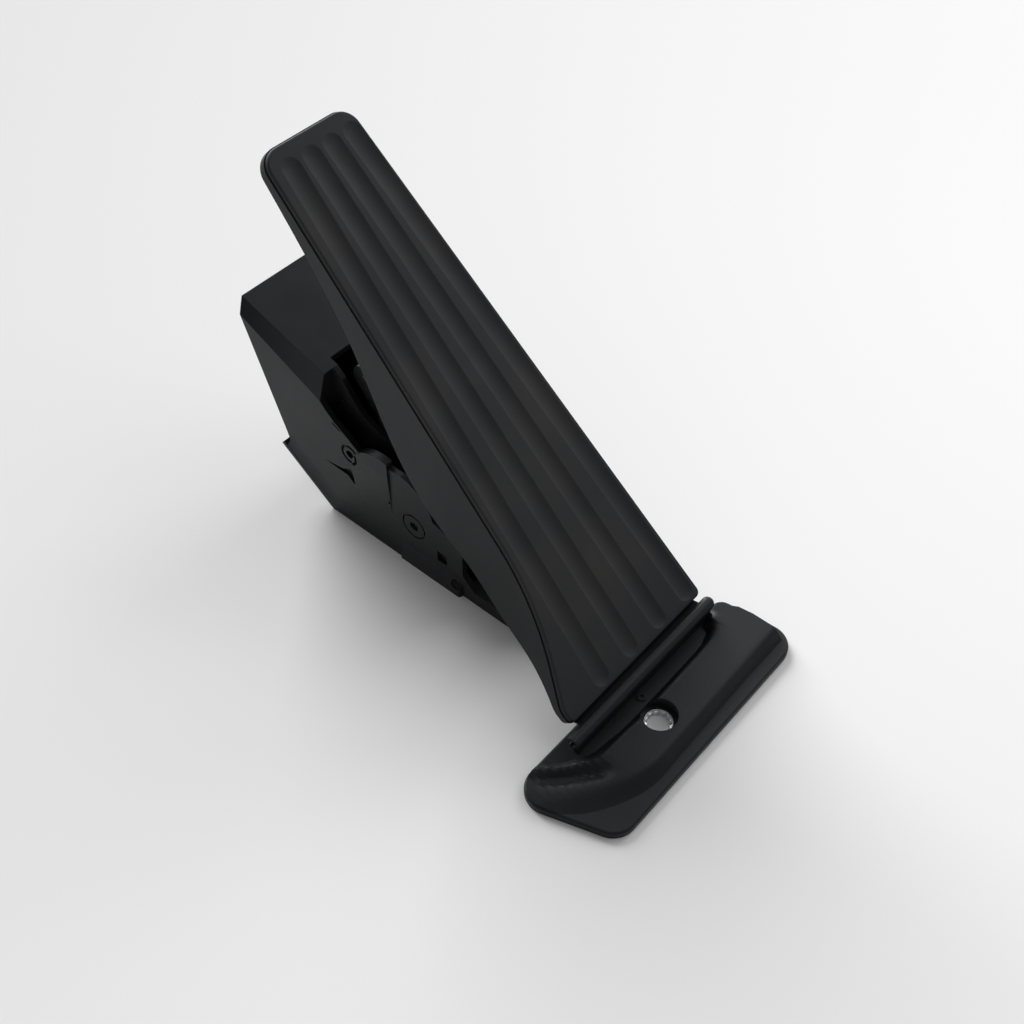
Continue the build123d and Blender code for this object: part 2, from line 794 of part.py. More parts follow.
def make_base_housing():
    """Base moulding: foot, floor pan, left wall, inner box with its roof, and the bearing of the lever."""
    outline = box_outline()
    cavity = offset(outline, amount=-wall)
    box = side_prism(outline, inner_wall_left, cover_x)
    box += side_prism(rear_half(outline), wall_left, cover_x)
    box -= bevel_cut()
    hollow = side_prism(cavity, inner_wall_left + wall, cover_x)
    rear_face = rear_half(cavity) & Pos(wall, 0) * rear_half(outline)
    rear_hollow = side_prism(rear_face, wall_left + wall, cover_x)
    rear_hollow -= bevel_cut(wall)
    box -= hollow
    box -= rear_hollow
    box -= side_prism(opening_outline(), inner_wall_left + wall, cover_x)

    left_wall = side_prism(left_wall_outline(), wall_left, wall_left + wall)
    left_wall -= bevel_cut()
    left_wall += flare()
    lip = side_prism(lip_outline(), wall_left - lip_reach, wall_left + wall)
    pan_outline = side_face(
        [
            (foot_rear_right - 4, 0),
            (bend_y, 0),
            (heel_y, heel_z),
            (heel_y - 3, heel_z + 1.5),
            (bend_y - 1, floor_thickness),
            (foot_rear_right - 4, floor_thickness),
        ]
    )
    pan = side_prism(pan_outline, wall_left, cover_x)
    neck_wall = block(cover_x - wall, cover_x, foot_rear_right - 1, front_y + wall, 0, neck_rib_height)
    ribs = [
        block(wall_left, cover_x, y, y + 2, 0, neck_rib_height)
        for y in (36.0, 58.0, 80.0)
    ]
    spine = block(mid_x - 1, mid_x + 1, foot_rear_right, front_y + 1, 0, neck_rib_height)

    base = make_foot() + box + left_wall + lip + wall_lug() + pan + neck_wall + spine
    for rib in ribs:
        base += rib
    base += raised_panel()
    for y, z in ((112.0, 31.3), (140.0, 36.3)):
        base += block(wall_left + wall - 0.5, inner_wall_left + wall, y, y + wall, 0, z)
    inner_rib = Pos(167.0, 58.4) * Rot(0, 0, 42) * SlotOverall(8.0, 2.2)
    base += side_prism(inner_rib, inner_wall_left - 0.8, inner_wall_left + 0.5)

    base += cross_cylinder(lever_y, lever_z, bush_collar_radius, wall_left, inner_wall_left + wall)
    ring = cross_cylinder(lever_y, lever_z, pivot_ring_radius, wall_left - 1, wall_left + 0.8)
    base -= ring - cross_cylinder(lever_y, lever_z, pivot_ring_radius - 0.8, wall_left - 1, wall_left + 0.8)
    base -= cross_cylinder(lever_y, lever_z, bush_outer_radius, wall_left + 1.5, inner_wall_left + wall)
    base -= cross_cylinder(lever_y, lever_z, pivot_eye_radius, wall_left - 1, wall_left + 1.5)

    stop_y = lever_y + tail_reach * cos(radians(tail_angle))
    base += block(mid_x - 6, mid_x + 6, stop_y - 4, stop_y + 4, 0, stop_pad_bottom())
    base += upright_cylinder(mid_x, spring_y, 0, outer_coil_radius + outer_wire, spring_bottom_z - 2)
    base += block(mid_x - 9, mid_x + 9, lever_y - 8, lever_y + 8, 0, floor_thickness + 2)
    for y, z in screw_places():
        base += cross_cylinder(y, z, screw_shank_radius + 2.2, cover_x - screw_length - 2, cover_x)
    for y, z in screw_places():
        base -= cross_cylinder(y, z, screw_shank_radius, cover_x - screw_length + cover_thickness, cover_x)

    base -= left_wall_cuts()
    base -= upright_cylinder(0, 0, bush_length, counterbore_radius, plateau_height)
    base -= upright_cylinder(0, 0, -1, bolt_bore / 2 + bush_wall, plateau_height)
    return base


def make_foot_bush():
    """Steel bush in the foot that takes the clamping load of the bolt."""
    barrel = upright_cylinder(0, 0, 0, bolt_bore / 2 + bush_wall, bush_length)
    barrel = chamfer(barrel.edges().filter_by(GeomType.CIRCLE).sort_by(Axis.Z)[-1], bush_chamfer)
    return barrel - upright_cylinder(0, 0, -1, bolt_bore / 2, bush_length + 2)


# Kick lever, its shaft and bearings


def lever_arm_face():
    """Side view of the lever: hub, arm to the link and a short tail against the rest stop."""
    hub = Pos(lever_y, lever_z) * Circle(lever_hub_radius)
    tip = Pos(lever_tip_y, lever_tip_z) * Circle(lever_tip_radius)
    arm = make_hull(hub.edges() + tip.edges())
    tail_y = lever_y + tail_reach * cos(radians(tail_angle))
    tail_z = lever_z + tail_reach * sin(radians(tail_angle))
    tail_root = Pos(lever_y, lever_z) * Circle(tail_root_radius)
    tail_end = Pos(tail_y, tail_z) * Circle(tail_radius)
    return arm + make_hull(tail_root.edges() + tail_end.edges())


def make_kick_lever():
    """Moulded lever that turns on its shaft and carries the link's lower end in a fork."""
    left = mid_x - lever_width / 2
    right = mid_x + lever_width / 2
    lever = side_prism(lever_arm_face(), left, right)
    hub_left = inner_wall_left + wall + bush_collar + seat_gap
    hub_right = cover_x - bush_collar - seat_gap
    lever += cross_cylinder(lever_y, lever_z, lever_hub_radius, hub_left, hub_right)
    pad_top = spring_bottom_z + spring_height + spring_cap_thickness
    pad = upright_cylinder(mid_x, spring_y, pad_top, outer_coil_radius + outer_wire, 2 * lever_hub_radius)
    below = make_face(
        Polyline(
            (spring_y - 30, 0),
            (spring_y + 30, 0),
            (spring_y + 30, lever_z + (spring_y + 30 - lever_y) * tan(radians(lever_rest_angle))),
            (spring_y - 30, lever_z + (spring_y - 30 - lever_y) * tan(radians(lever_rest_angle))),
            close=True,
        )
    )
    lever += pad & side_prism(below, left - 5, right + 5)
    lever -= upright_cylinder(mid_x, spring_y, 0, outer_coil_radius + outer_wire + seat_gap, pad_top)
    pocket_hub = Pos(lever_y, lever_z) * Rot(0, 0, lever_rest_angle) * Pos(26, 0) * SlotOverall(26, 9)
    for x_start in (left, right - 5):
        lever -= side_prism(pocket_hub, x_start, x_start + 5)
    fork = Pos(lever_tip_y, lever_tip_z) * Circle(lever_tip_radius + 5)
    link_turn = degrees(atan2(link_top_z - lever_tip_z, link_top_y - lever_tip_y))
    slot = Rectangle(fork_slot_reach, link_bar_height + 1.6, align=(Align.MIN, Align.CENTER))
    fork += Pos(lever_tip_y, lever_tip_z) * Rot(0, 0, link_turn + link_swing_room) * slot
    lever -= side_prism(fork, mid_x - fork_gap / 2, mid_x + fork_gap / 2)
    lever -= cross_cylinder(lever_tip_y, lever_tip_z, pin_radius, left, right)
    lever -= cross_cylinder(lever_y, lever_z, shaft_radius, hub_left, hub_right)
    return lever


def make_lever_shaft():
    """Steel shaft that turns with the lever and carries the magnet at its right end."""
    left = wall_left + 1.7
    shaft = cross_cylinder(lever_y, lever_z, shaft_radius, left, magnet_x + magnet_thickness)
    return chamfer(shaft.edges().filter_by(GeomType.CIRCLE), 0.4)


def make_sensor_magnet():
    """Ring magnet on the shaft's right end, which the sensors read."""
    ring = cross_cylinder(lever_y, lever_z, magnet_radius, magnet_x, magnet_x + magnet_thickness)
    return ring - cross_cylinder(lever_y, lever_z, shaft_radius, magnet_x, magnet_x + magnet_thickness)


def bearing_bush(x_start, x_end, collar_start, collar_end):
    """Flanged plain bearing."""
    bush = cross_cylinder(lever_y, lever_z, bush_outer_radius, x_start, x_end)
    bush += cross_cylinder(lever_y, lever_z, bush_collar_radius, collar_start, collar_end)
    return bush - cross_cylinder(lever_y, lever_z, shaft_radius + running_clearance, x_start - 1, x_end + 1)


def make_left_bearing_bush():
    """Bearing in the boss of the base moulding."""
    end = inner_wall_left + wall
    return bearing_bush(wall_left + 1.5, end + bush_collar, end, end + bush_collar)


def make_right_bearing_bush():
    """Bearing in the side cover."""
    return bearing_bush(cover_x - bush_collar, cover_outer_x - 0.5, cover_x - bush_collar, cover_x)


def pivot_pin(y, z, half_length):
    """Steel pin with rounded ends."""
    pin = cross_cylinder(y, z, pin_radius, mid_x - half_length, mid_x + half_length)
    return chamfer(pin.edges().filter_by(GeomType.CIRCLE), 0.3)


def make_upper_link_pin():
    """Pin through the ears of the pedal plate."""
    return pivot_pin(link_top_y, link_top_z, fork_gap / 2 + ear_wall + 0.6)


def make_lower_link_pin():
    """Pin through the fork of the lever."""
    return pivot_pin(lever_tip_y, lever_tip_z, lever_width / 2 + 0.6)


def make_push_link():
    """Moulded link between the pedal and the lever, an eye at each end of a ribbed bar."""
    run_y = lever_tip_y - link_top_y
    run_z = lever_tip_z - link_top_z
    length = (run_y**2 + run_z**2) ** 0.5
    turn = degrees(atan2(run_z, run_y))
    half = link_width / 2
    middle = Pos(link_top_y, link_top_z) * Rot(0, 0, turn) * Pos(length / 2, 0)
    bar_face = middle * Rectangle(length, link_bar_height)
    web_face = middle * SlotOverall(length - 2.6 * link_eye_radius, link_bar_height - 2.2)
    link = side_prism(bar_face, mid_x - half, mid_x + half)
    for y, z in ((link_top_y, link_top_z), (lever_tip_y, lever_tip_z)):
        link += cross_cylinder(y, z, link_eye_radius, mid_x - half, mid_x + half)
    for x_start in (mid_x - half, mid_x + 1):
        link -= side_prism(web_face, x_start, x_start + half - 1)
    close_bore = pin_radius + running_clearance
    open_bore = pin_radius + open_pivot_clearance
    link -= cross_cylinder(link_top_y, link_top_z, close_bore, mid_x - half, mid_x + half)
    return link - cross_cylinder(lever_tip_y, lever_tip_z, open_bore, mid_x - half, mid_x + half)


# Return springs, friction shoe and rest stop


def coil_spring(coil_radius, wire, turns):
    """Compression spring that stands on the floor seat, its wire swept along a helix."""
    height = spring_height - wire
    path = Helix(pitch=height / turns, height=height, radius=coil_radius)
    section = Plane(origin=path @ 0, z_dir=path % 0) * Circle(wire / 2)
    coil = sweep(section, path=path)
    return Pos(mid_x, spring_y, spring_bottom_z + wire / 2) * coil


def make_outer_spring():
    """Outer return spring."""
    return coil_spring(outer_coil_radius, outer_wire, outer_turns)


def make_inner_spring():
    """Inner return spring, which still closes the pedal if the outer one breaks."""
    return coil_spring(inner_coil_radius, inner_wire, inner_turns)


def make_spring_seat():
    """Plastic dish under both springs, with a spigot that centres them."""
    seat = upright_cylinder(mid_x, spring_y, spring_bottom_z - 2, outer_coil_radius + outer_wire, 2)
    spigot_radius = inner_coil_radius - inner_wire - 0.4
    return seat + upright_cylinder(mid_x, spring_y, spring_bottom_z, spigot_radius, spring_spigot)


def make_spring_cap():
    """Plastic disc between the springs and the lever."""
    top = spring_bottom_z + spring_height
    cap = upright_cylinder(mid_x, spring_y, top, outer_coil_radius + outer_wire, spring_cap_thickness)
    spigot_radius = inner_coil_radius - inner_wire - 0.4
    return cap + upright_cylinder(mid_x, spring_y, top - spring_spigot, spigot_radius, spring_spigot)


def make_friction_shoe():
    """Shoe under the lever's hub, whose drag gives the pedal its feel."""
    low = floor_thickness + 2
    top = lever_z - 0.83 * lever_hub_radius
    shoe = block(mid_x - 8, mid_x + 8, lever_y - 6, lever_y + 6, low, top)
    hub_space = lever_hub_radius + seat_gap
    return shoe - cross_cylinder(lever_y, lever_z, hub_space, mid_x - 9, mid_x + 9)


def stop_pad_bottom():
    """Height of the post that the rest stop sits on."""
    tail_z = lever_z + tail_reach * sin(radians(tail_angle))
    return tail_z - tail_radius - seat_gap - 3.0


def make_rest_stop_pad():
    """Rubber pad that the lever's tail rests against when the pedal is up."""
    stop_y = lever_y + tail_reach * cos(radians(tail_angle))
    low = stop_pad_bottom()
    return block(mid_x - 6, mid_x + 6, stop_y - 4, stop_y + 4, low, low + 3.0)


# Side cover, sensor and connector


def screw_places():
    """Side-view places of the cover screws, inside the corners of the box."""
    return [
        (front_y + 5.5, 6.0),
        (bend_y - 1.0, 6.2),
        (rear_low_y - 5.0, rear_low_z + 2.0),
        (roof_rear_y - 9.0, roof_rear_z - 9.0),
        (roof_front_y + 8.0, roof_front_z - 2.5),
    ]


def chamber_face(inset=0.0):
    """Side view of the sensor chamber on the cover."""
    width = chamber_rear - chamber_front
    height = chamber_top - chamber_bottom
    face = RectangleRounded(width - 2 * inset, height - 2 * inset, 5.0 - inset)
    return Pos((chamber_front + chamber_rear) / 2, (chamber_bottom + chamber_top) / 2) * face


def make_side_cover():
    """Right cover of the housing with the wall of the sensor chamber and the right bearing."""
    cover = side_prism(box_outline(), cover_x, cover_outer_x)
    cover += side_prism(chamber_face(), cover_outer_x, chamber_outer_x)
    cover -= side_prism(chamber_face(chamber_wall), cover_outer_x, chamber_outer_x)
    cover -= cross_cylinder(lever_y, lever_z, bush_outer_radius, cover_x, cover_outer_x)
    for y, z in screw_places():
        cover -= cross_cylinder(y, z, screw_shank_radius + screw_clearance, cover_x, cover_outer_x)
    return cover


def connector_pin(x_start, x_end, y):
    """One square contact blade."""
    half = pin_blade / 2
    return block(x_start, x_end, y - half, y + half, connector_z - half, connector_z + half)


def connector_pin_rows():
    """Places of the contact blades along Y."""
    first = connector_y - pin_pitch * (pin_count - 1) / 2
    return [first + index * pin_pitch for index in range(pin_count)]


def make_connector_pins():
    """Contact blades that run from the board into the socket."""
    start = board_x + board_thickness
    end = chamber_outer_x + connector_reach - 6
    return Compound(children=[connector_pin(start, end, y) for y in connector_pin_rows()])


def make_circuit_board():
    """Sensor board that rests against the lid's inner face."""
    return side_prism(chamber_face(chamber_wall + board_clearance), board_x, board_x + board_thickness)


def make_hall_sensors():
    """Two sensor chips on the board, facing the magnet."""
    chips = [
        block(board_x - chip_thickness, board_x, lever_y - 2.5, lever_y + 2.5, z - 1.8, z + 1.8)
        for z in (lever_z - 2.4, lever_z + 2.4)
    ]
    return Compound(children=chips)


def make_sensor_lid():
    """Lid welded over the sensor chamber, with the shroud of the connector moulded on."""
    floor_x = chamber_outer_x + lid_thickness
    outer_x = chamber_outer_x + connector_reach
    lid = side_prism(chamber_face(), chamber_outer_x, floor_x)
    place = Pos(connector_y, connector_z)
    shroud = place * RectangleRounded(connector_width, connector_height, 3)
    inner_width = connector_width - 2 * connector_wall
    inner_height = connector_height - 2 * connector_wall
    lid += side_prism(shroud, chamber_outer_x, outer_x)
    lid -= side_prism(place * RectangleRounded(inner_width, inner_height, 2), floor_x + 0.4, outer_x)
    top = connector_z + connector_height / 2
    lid += block(floor_x + 6, floor_x + 9, connector_y - 4, connector_y + 4, top - 0.5, top + 1.8)
    for y in connector_pin_rows():
        lid -= connector_pin(chamber_outer_x, floor_x + 0.4, y)
    return lid


def make_cover_screws():
    """Screws that hold the side cover."""
    screws = []
    for y, z in screw_places():
        head = cross_cylinder(y, z, screw_head_radius, cover_outer_x, cover_outer_x + screw_head_height)
        head -= cross_cylinder(y, z, 1.3, cover_outer_x + 0.7, cover_outer_x + screw_head_height)
        shank = cross_cylinder(y, z, screw_shank_radius, cover_outer_x - screw_length, cover_outer_x)
        screws.append(head + shank)
    return Compound(children=screws)


pieces = {
    "base_housing": make_base_housing,
    "foot_bush": make_foot_bush,
    "side_cover": make_side_cover,
    "cover_screws": make_cover_screws,
    "sensor_lid": make_sensor_lid,
    "circuit_board": make_circuit_board,
    "hall_sensors": make_hall_sensors,
    "connector_pins": make_connector_pins,
    "left_bearing_bush": make_left_bearing_bush,
    "right_bearing_bush": make_right_bearing_bush,
    "outer_spring": make_outer_spring,
    "inner_spring": make_inner_spring,
    "spring_seat": make_spring_seat,
    "spring_cap": make_spring_cap,
    "sensor_magnet": make_sensor_magnet,
    "friction_shoe": make_friction_shoe,
    "rest_stop_pad": make_rest_stop_pad,
    "pedal_plate": make_pedal_plate,
    "tread_pad": make_tread_pad,
    "hinge_strip": make_hinge_strip,
    "end_stop_buffer": make_end_stop_buffer,
    "upper_link_pin": make_upper_link_pin,
    "kick_lever": make_kick_lever,
    "lever_shaft": make_lever_shaft,
    "lower_link_pin": make_lower_link_pin,
    "push_link": make_push_link,
}

for name, make in pieces.items():
    export_step(make(), f"parts/{name}.step")
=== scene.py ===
# %% [markdown]
# # An accelerator pedal, dressed for its picture
#
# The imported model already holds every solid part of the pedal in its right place. This lesson adds what
# the eye looks for: a camera, a floor and soft light, matt moulded plastics with a fine grain, bright
# metal, and four pieces that are finer than their solids: the springs, the screw heads, the contact
# blades and the bush.

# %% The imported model
from math import atan2, cos, hypot, pi, radians

import bmesh
import bpy
from mathutils import Matrix, Vector


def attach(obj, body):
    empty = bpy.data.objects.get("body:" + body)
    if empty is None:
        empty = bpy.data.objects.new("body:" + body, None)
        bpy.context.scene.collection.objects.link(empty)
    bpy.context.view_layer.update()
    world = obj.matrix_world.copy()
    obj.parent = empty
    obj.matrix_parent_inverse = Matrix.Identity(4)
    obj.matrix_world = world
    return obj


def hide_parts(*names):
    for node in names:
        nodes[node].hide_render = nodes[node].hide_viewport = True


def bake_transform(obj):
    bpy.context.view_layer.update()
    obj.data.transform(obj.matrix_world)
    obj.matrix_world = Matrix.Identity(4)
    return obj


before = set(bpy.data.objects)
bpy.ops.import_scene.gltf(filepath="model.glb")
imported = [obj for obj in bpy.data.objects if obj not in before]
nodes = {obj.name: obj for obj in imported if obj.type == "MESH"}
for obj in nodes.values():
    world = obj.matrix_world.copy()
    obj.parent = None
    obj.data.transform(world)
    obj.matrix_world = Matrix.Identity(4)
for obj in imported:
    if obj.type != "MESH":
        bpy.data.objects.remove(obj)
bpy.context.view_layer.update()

# %% [markdown]
# ## Small helpers
#
# All sizes below are written in millimetres, because that is how such a part is drawn. Blender works in
# metres, so one value turns the first into the second. A camera, a lamp and a mesh all become part of the
# scene in the same two steps, so those are a helper too.

# %% Millimetres
MM = 0.001
TOUCHING = 0.01 * MM


def at(x, y, z):
    """A place given in millimetres, as a vector in metres."""
    return Vector((x, y, z)) * MM


print("1 mm is", MM, "m, and points nearer than", TOUCHING, "m are taken as one")


# %% Into the scene
def in_scene(name, data):
    """A new object in the scene, made from its data."""
    thing = bpy.data.objects.new(name, data)
    bpy.context.scene.collection.objects.link(thing)
    return thing


# %% [markdown]
# ## Camera
#
# The picture was taken from the front left and well above, with an ordinary lens. The place and the
# direction were worked out from lines on the part that are parallel in reality and run together in the
# picture.

# %% Camera
SENSOR_WIDTH, LENS = 36.0, 47.46
CAMERA_PLACE = at(-246.9, -139.3, 438.2)
LEVEL_WAY, VIEW_WAY = Vector((0.652, -0.758, 0.0)), Vector((0.501, 0.431, -0.750))
NEAREST, FARTHEST = 0.01, 200.0

camera_data = bpy.data.cameras.new("camera")
camera_data.sensor_width = SENSOR_WIDTH
camera_data.lens = LENS
camera_data.clip_start = NEAREST
camera_data.clip_end = FARTHEST
camera = in_scene("camera", camera_data)
view_way = VIEW_WAY.normalized()
up_way = LEVEL_WAY.cross(view_way).normalized()
right_way = view_way.cross(up_way)
turn = Matrix((right_way, up_way, -view_way)).transposed()
camera.matrix_world = Matrix.Translation(CAMERA_PLACE) @ turn.to_4x4()
bpy.context.scene.camera = camera
print("camera looks along", tuple(round(part, 3) for part in view_way))

# %% [markdown]
# ## Floor
#
# A pale sheet lies under the part and runs far past the edge of the picture. It is a plain matt white,
# and the object's shadow falls on it.

# %% Floor
FLOOR_REACH = 40.0
FLOOR_WHITE, FLOOR_ROUGHNESS = 0.80, 0.9

floor_mesh = bpy.data.meshes.new("floor")
shaper = bmesh.new()
bmesh.ops.create_grid(shaper, x_segments=1, y_segments=1, size=FLOOR_REACH)
shaper.to_mesh(floor_mesh)
shaper.free()
floor = in_scene("floor", floor_mesh)
floor_paint = bpy.data.materials.new("floor_paint")
floor_paint.use_nodes = True
floor_shader = floor_paint.node_tree.nodes["Principled BSDF"]
floor_shader.inputs["Base Color"].default_value = (FLOOR_WHITE, FLOOR_WHITE, FLOOR_WHITE, 1.0)
floor_shader.inputs["Roughness"].default_value = FLOOR_ROUGHNESS
floor_shader.inputs["Specular IOR Level"].default_value = 0.0
floor_mesh.materials.append(floor_paint)
print("the floor runs", FLOOR_REACH, "m each way")

# %% [markdown]
# ## Light
#
# Black plastic is seen mostly by what it reflects, so the lamps are placed for their reflections. A soft
# light far behind the part lights the floor evenly and lays the shadow towards the camera, one on the
# right fills from the side, and a dim card in front is what the tread reflects. The world is a dark grey,
# so that faces turned away from the lamps stay dark.

# %% World
WORLD_STRENGTH = 0.28

world = bpy.data.worlds.new("studio")
bpy.context.scene.world = world
world.use_nodes = True
background = world.node_tree.nodes["Background"]
background.inputs["Color"].default_value = (1.0, 1.0, 1.0, 1.0)
background.inputs["Strength"].default_value = WORLD_STRENGTH
bpy.context.scene.view_settings.view_transform = "Standard"
print("world strength:", WORLD_STRENGTH)

# %% [markdown]
# Two kinds of lamp are enough. An area lamp stands at a place and gives a soft patch of reflection. A sun
# lamp has only a direction, so it lights the whole floor alike, and a wide angle makes its shadow soft.


# %% Two kinds of lamp
def soft_lamp(name, place, target, side, power):
    """A square soft lamp at a place, turned to a target, with its side in metres and its power in watts."""
    data = bpy.data.lights.new(name, "AREA")
    data.size = side
    data.energy = power
    turned = (target - place).to_track_quat("-Z", "Y").to_matrix()
    in_scene(name, data).matrix_world = Matrix.Translation(place) @ turned.to_4x4()


def far_lamp(name, way, strength, spread):
    """A lamp as far away as the sun, in a direction, and spread over an angle in degrees."""
    data = bpy.data.lights.new(name, "SUN")
    data.energy = strength
    data.angle = radians(spread)
    in_scene(name, data).matrix_world = Vector(way).to_track_quat("Z", "Y").to_matrix().to_4x4()


# %% The three lamps
PART_MIDDLE = at(10.0, 90.0, 40.0)
TREAD_UPPER_END = at(20.0, 175.0, 135.0)

soft_lamp("right", at(1500.0, 100.0, 900.0), PART_MIDDLE, side=0.8, power=8.0)
soft_lamp("front_card", at(275.0, -95.0, 480.0), TREAD_UPPER_END, side=0.45, power=0.58)
far_lamp("rear", (0.33, 0.85, 0.39), strength=4.5, spread=42.0)

# %% [markdown]
# ## Finishes
#
# Nearly everything on this pedal is black plastic. What tells one black from another is its grain, how
# rough it is, and how the light catches its edges. Two node groups give that: one makes the fine grain of
# a spark-eroded mould, the other finds the edges and softens them the way a real moulding is softened. It
# also marks the edges for a lighter edge colour, which is partly wear and partly a painted highlight.


# %% Helpers for nodes
def new_group(name, inputs, outputs):
    """An empty shader node group with float inputs and named outputs."""
    tree = bpy.data.node_groups.new(name, "ShaderNodeTree")
    for label, value in inputs:
        socket = tree.interface.new_socket(name=label, in_out="INPUT", socket_type="NodeSocketFloat")
        socket.default_value = value
    for label, kind in outputs:
        tree.interface.new_socket(name=label, in_out="OUTPUT", socket_type=kind)
    return tree, tree.nodes.new("NodeGroupInput"), tree.nodes.new("NodeGroupOutput")


def add(tree, kind, **settings):
    """A node with its settings and plain socket values in place."""
    node = tree.nodes.new(kind)
    for key, value in settings.items():
        if key in node.inputs:
            node.inputs[key].default_value = value
        else:
            setattr(node, key, value)
    return node


def join(tree, start, end):
    """A link from one socket to another."""
    tree.links.new(start, end)


# %% [markdown]
# The grain is a noise whose scale counts its waves in a metre, so 1800 is a little over half a millimetre
# from one grain to the next. A second noise, fifty times larger, is the cloud: it drifts the colour and
# the roughness, because no moulding is quite even.

# %% Grain group
GRAIN_SCALE, CLOUD_SCALE = 1800.0, 35.0

grain_group, grain_in, grain_out = new_group(
    "moulded_grain",
    [("Scale", GRAIN_SCALE), ("Cloud scale", CLOUD_SCALE)],
    [("Height", "NodeSocketFloat"), ("Cloud", "NodeSocketFloat")],
)
surface = add(grain_group, "ShaderNodeTexCoord")
fine = add(grain_group, "ShaderNodeTexNoise", Detail=2.0, Roughness=0.55)
cloud = add(grain_group, "ShaderNodeTexNoise", Detail=4.0, Roughness=0.6)
join(grain_group, surface.outputs["Object"], fine.inputs["Vector"])
join(grain_group, surface.outputs["Object"], cloud.inputs["Vector"])
join(grain_group, grain_in.outputs["Scale"], fine.inputs["Scale"])
join(grain_group, grain_in.outputs["Cloud scale"], cloud.inputs["Scale"])
join(grain_group, fine.outputs["Fac"], grain_out.inputs["Height"])
join(grain_group, cloud.outputs["Fac"], grain_out.inputs["Cloud"])
print("grain group nodes:", len(grain_group.nodes))

# %% [markdown]
# A Bevel node gives the normal that the surface would have if its edges were rounded to a radius. Where
# that normal leans away from the flat one there is an edge, so one minus their dot product, times a gain,
# is how much of an edge a point is on.

# %% Edge group
EDGE_RADIUS, EDGE_GAIN = 0.6 * MM, 3.0

edge_group, edge_in, edge_out = new_group(
    "softened_edges",
    [("Radius", EDGE_RADIUS), ("Gain", EDGE_GAIN)],
    [("Normal", "NodeSocketVector"), ("Edge", "NodeSocketFloat")],
)
rounded = add(edge_group, "ShaderNodeBevel", samples=4)
flat = add(edge_group, "ShaderNodeNewGeometry")
compare = add(edge_group, "ShaderNodeVectorMath", operation="DOT_PRODUCT")
leaning = add(edge_group, "ShaderNodeMath", operation="SUBTRACT")
leaning.inputs[0].default_value = 1.0
gained = add(edge_group, "ShaderNodeMath", operation="MULTIPLY", use_clamp=True)
join(edge_group, edge_in.outputs["Radius"], rounded.inputs["Radius"])
join(edge_group, rounded.outputs["Normal"], compare.inputs[0])
join(edge_group, flat.outputs["Normal"], compare.inputs[1])
join(edge_group, compare.outputs["Value"], leaning.inputs[1])
join(edge_group, leaning.outputs["Value"], gained.inputs[0])
join(edge_group, edge_in.outputs["Gain"], gained.inputs[1])
join(edge_group, rounded.outputs["Normal"], edge_out.inputs["Normal"])
join(edge_group, gained.outputs["Value"], edge_out.inputs["Edge"])
print("groups:", [group.name for group in bpy.data.node_groups])

# %% [markdown]
# A finish is built up as a painter would: a clouded base colour, another colour laid over it where the
# edges are, a graded roughness, and the grain pressed into the surface. Each of these is one small
# function. A noise seldom comes near 0 or 1, so only the middle of its range is stretched over a drift.

# %% Layers of a finish
CLOUD_RANGE = (0.3, 0.7)


def clouded(tree, value, dark, light):
    """A colour that drifts between a dark and a light one as a cloud value does."""
    ramp = add(tree, "ShaderNodeValToRGB")
    for element, position, colour in zip(ramp.color_ramp.elements, CLOUD_RANGE, (dark, light)):
        element.position = position
        element.color = (*colour, 1.0)
    join(tree, value, ramp.inputs["Fac"])
    return ramp.outputs["Color"]


def laid_over(tree, under, over, share):
    """A plain colour laid over a colour socket, by the share that another socket gives."""
    mix = add(tree, "ShaderNodeMix", data_type="RGBA")
    mix.inputs["B"].default_value = (*over, 1.0)
    join(tree, under, mix.inputs["A"])
    join(tree, share, mix.inputs["Factor"])
    return mix.outputs["Result"]


def graded(tree, value, start, end, low, high):
    """A value stretched so that start to end becomes low to high, and held there outside."""
    grade = add(tree, "ShaderNodeMapRange")
    for label, number in (("From Min", start), ("From Max", end), ("To Min", low), ("To Max", high)):
        grade.inputs[label].default_value = number
    join(tree, value, grade.inputs["Value"])
    return grade.outputs["Result"]


def pressed_in(tree, height, depth, normal):
    """A normal with a height from 0 to 1 pressed into it, to a depth in metres."""
    deep = add(tree, "ShaderNodeMath", operation="MULTIPLY")
    deep.inputs[1].default_value = depth
    bump = add(tree, "ShaderNodeBump", Distance=1.0, Strength=1.0)
    join(tree, height, deep.inputs[0])
    join(tree, deep.outputs["Value"], bump.inputs["Height"])
    join(tree, normal, bump.inputs["Normal"])
    return bump.outputs["Normal"]


# %% [markdown]
# One function puts the layers together. The darker and the lighter colour are the two ends of the cloudy
# variation, and the edges are a little lighter still. That lighter edge is partly wear and partly a painted
# highlight, standing in for the light that a rounded edge catches. Where a stain is asked for, the same
# grain group makes its patches, at a cloud scale of their own.

# %% A finish
GRAIN_DEPTH = 0.03 * MM
STAIN_SCALE, STAIN_RANGE, STAIN_MOST = 14.0, (0.48, 0.66), 0.8
PLAIN_TINT = (1.0, 1.0, 1.0)


